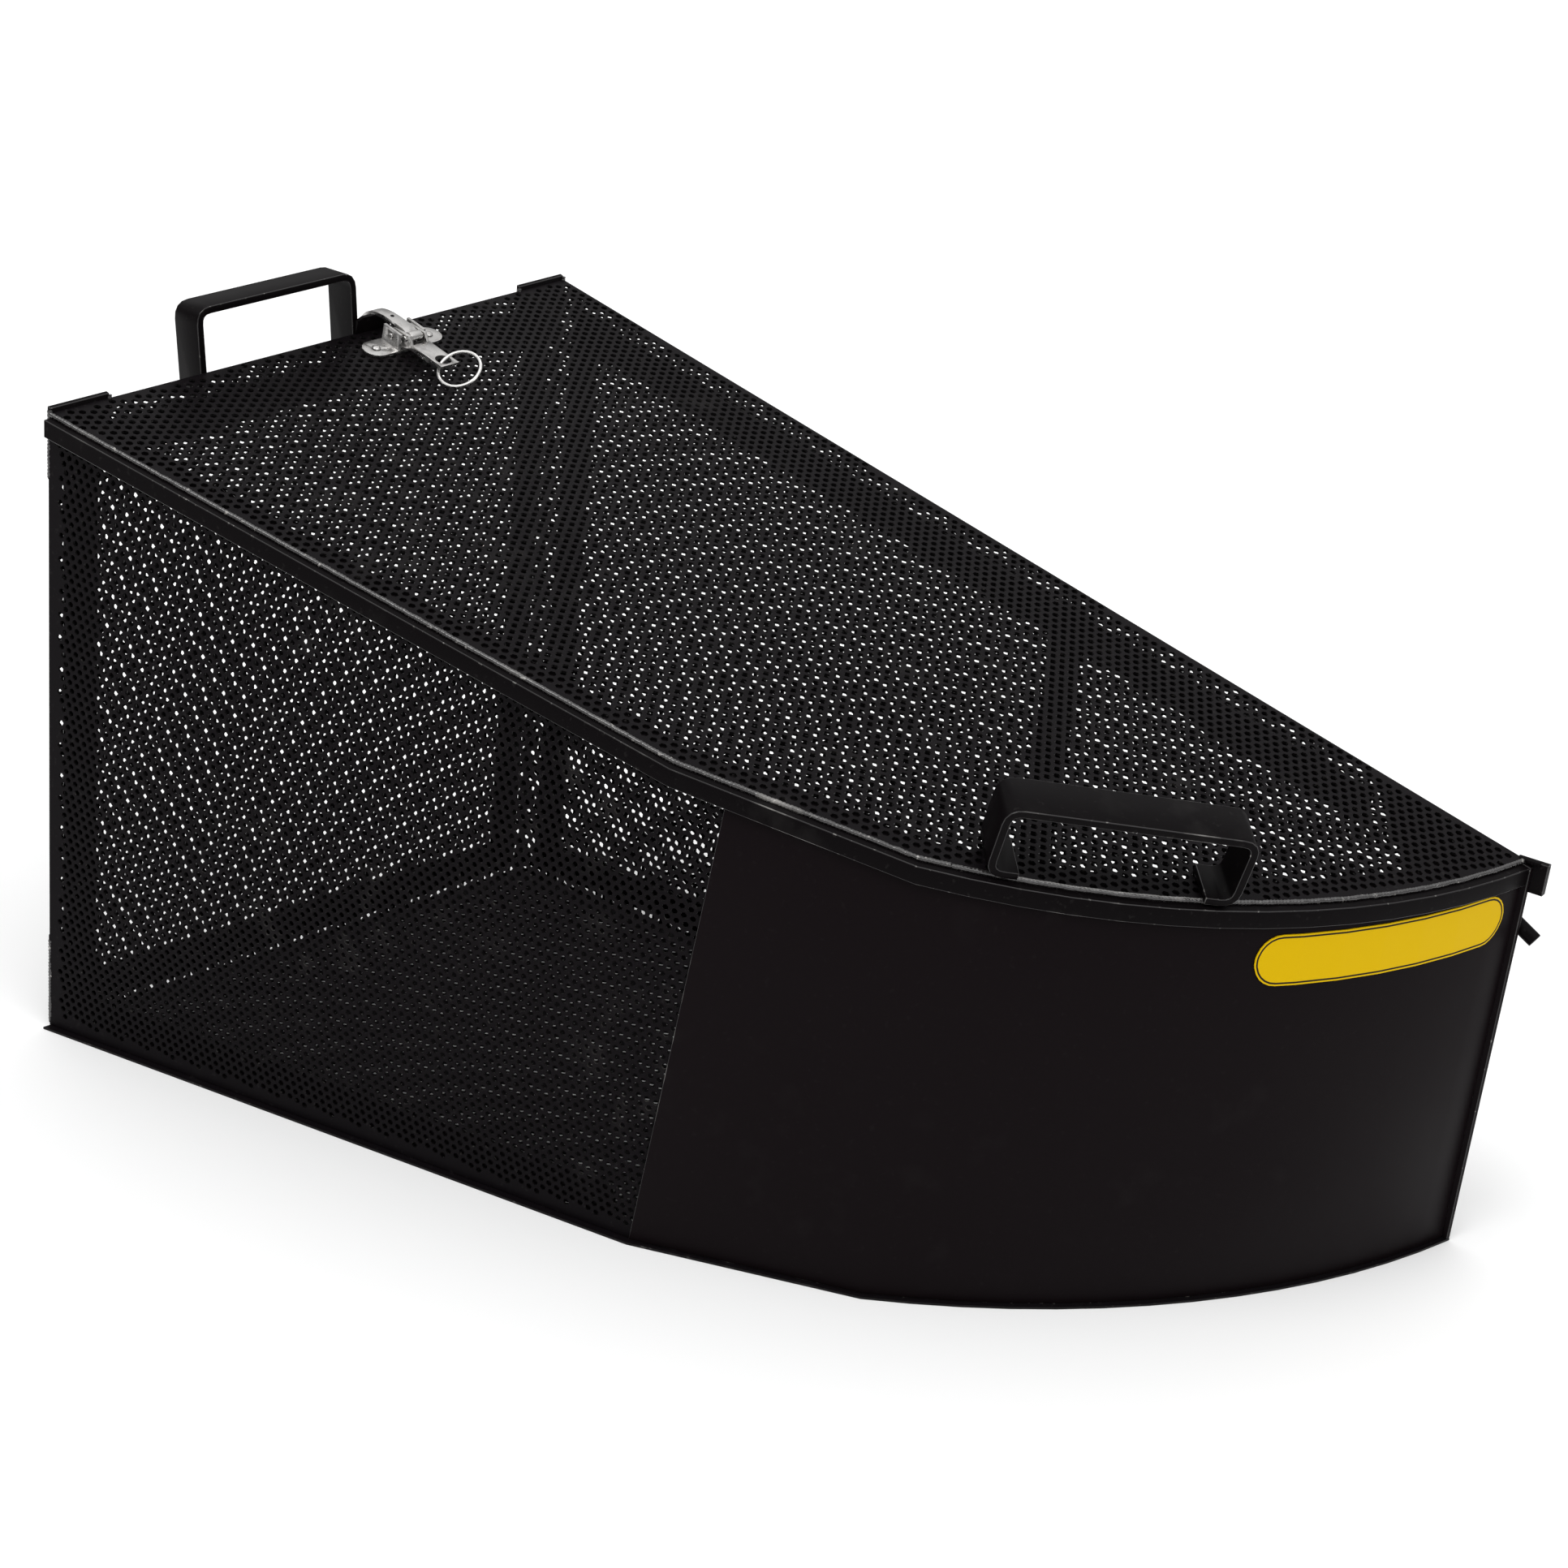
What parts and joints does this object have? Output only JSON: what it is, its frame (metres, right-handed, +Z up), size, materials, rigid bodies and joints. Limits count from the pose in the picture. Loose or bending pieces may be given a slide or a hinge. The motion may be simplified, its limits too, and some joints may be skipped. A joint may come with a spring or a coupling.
{
  "type": "grass catcher",
  "caption": "Black steel grass catcher for a side discharge mower: perforated box with a rolled solid front, two strap handles and a toggle latch.",
  "frame": {"origin": "middle of the overall box, on the ground under the floor sheet", "axes": "+X from the rear wall to the pointed front, +Y to the mower side, +Z up"},
  "size_m": [0.8834, 0.4762, 0.5104],
  "materials": {
    "perforated_sheet": "satin black powder coat on perforated steel sheet",
    "black_coat": "black powder coat, semi-gloss",
    "zinc": "bright zinc plate",
    "yellow_field": "plain yellow vinyl with a thin dark line"
  },
  "bodies": {
    "catcher": {"floor_panel": "perforated_sheet", "top_panel": "perforated_sheet", "rear_wall": "perforated_sheet", "inner_wall_rear": "perforated_sheet", "inner_wall_front": "perforated_sheet", "outer_wall_mesh": "perforated_sheet", "deflector": "black_coat", "top_rim": "black_coat", "front_plate": "black_coat", "rear_post_inner": "black_coat", "rear_post_outer": "black_coat", "rear_rail_top": "black_coat", "rear_rail_bottom": "black_coat", "inner_post_rear": "black_coat", "inner_post_mid": "black_coat", "inner_rail_top_rear": "black_coat", "inner_rail_bottom": "black_coat", "inner_rail_top_front": "black_coat", "inlet_rail": "black_coat", "outer_rail_bottom": "black_coat", "corner_plate_top_outer": "black_coat", "corner_plate_top_inner": "black_coat", "corner_plate_low_outer": "black_coat", "rear_handle": "black_coat", "front_handle": "black_coat", "hitch_pin": "black_coat", "hitch_socket": "black_coat", "tip_lug": "black_coat", "side_field": "yellow_field", "latch_base": "zinc", "latch_pivot": "zinc", "latch_rivet_outer": "zinc", "latch_rivet_inner": "zinc"},
    "lever": {"latch_lever": "zinc", "latch_hook_pin": "zinc"},
    "hook": {"latch_hook": "zinc"},
    "ring": {"pull_ring": "zinc"}
  },
  "joints": [
    {"name": "latch_lever_hinge", "type": "hinge", "parent": "catcher", "child": "lever", "pos_m": [-0.37298, 0.03505, 0.47224], "axis": [-0.1086, -0.9879, -0.1107], "range_deg": [0, 85]},
    {"name": "latch_hook_hinge", "type": "hinge", "parent": "lever", "child": "hook", "pos_m": [-0.36286, 0.03402, 0.47151], "axis": [0.1086, 0.9879, 0.1107], "range_deg": [0, 93.5]},
    {"name": "pull_ring_hinge", "type": "hinge", "parent": "lever", "child": "ring", "pos_m": [-0.33261, 0.03186, 0.46109], "axis": [-0.1086, -0.9879, -0.1107], "range_deg": [-3, 20]}
  ],
  "couplings": [
    {"joint": "latch_hook_hinge", "follows": "latch_lever_hinge", "ratio": 1.1}
  ]
}
